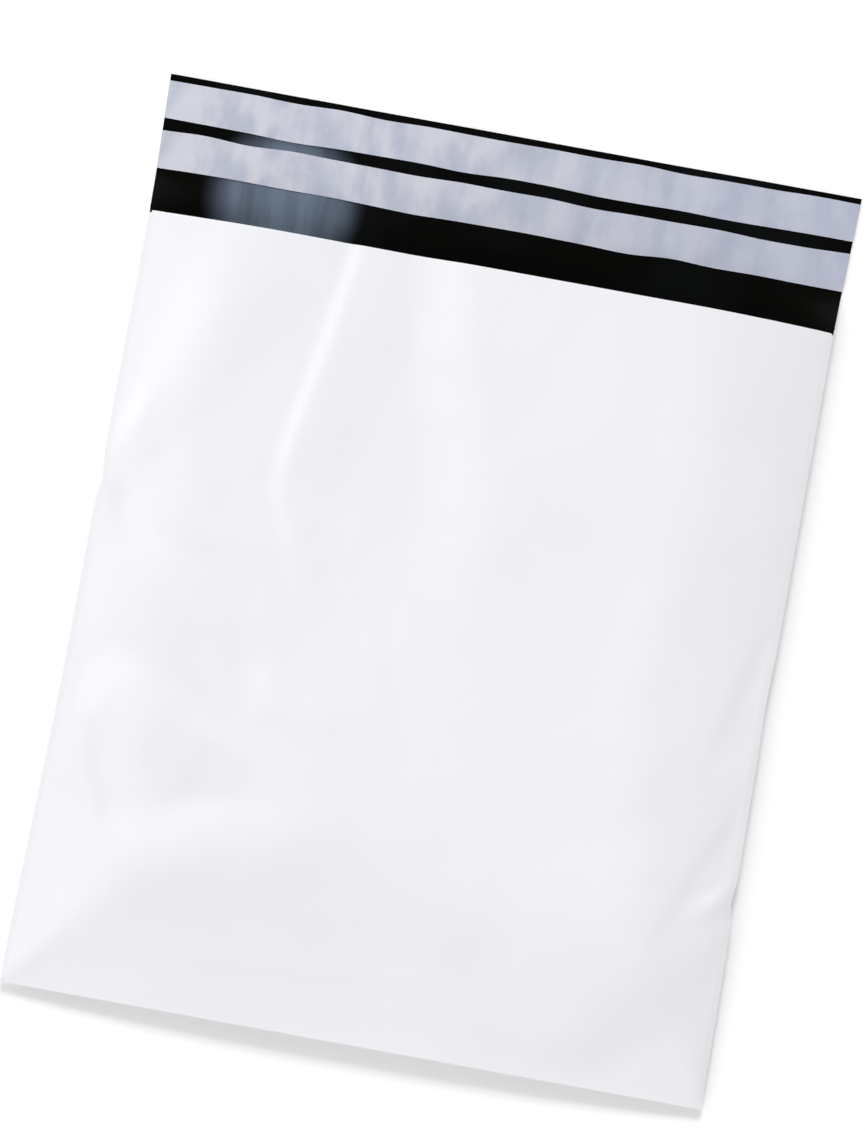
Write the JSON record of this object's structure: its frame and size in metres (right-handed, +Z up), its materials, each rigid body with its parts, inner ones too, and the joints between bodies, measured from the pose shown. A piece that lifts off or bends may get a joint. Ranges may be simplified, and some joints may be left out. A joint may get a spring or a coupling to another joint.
{
  "type": "poly mailer bag",
  "caption": "Flat poly mailer bag of white film, lined black, lying open on its back, with side welds, a bottom fold and a closing flap that carries a shipping seal and a return seal.",
  "frame": {"origin": "middle of the bag's footprint, on the surface that it lies on", "axes": "+Y from the bottom fold towards the mouth and the flap, +X across the bag, +Z up out of the front"},
  "size_m": [0.35, 0.4594, 0.0181],
  "materials": {
    "white_film": "satin polyethylene film, white outside and black inside",
    "clear_gum": "clear pressure-sensitive adhesive",
    "peel_liner": "satin translucent release film"
  },
  "bodies": {
    "root": {"mailer_film": "white_film", "shipping_seal_adhesive": "clear_gum", "shipping_seal_liner": "peel_liner", "return_seal_adhesive": "clear_gum", "return_seal_liner": "peel_liner"}
  },
  "joints": []
}
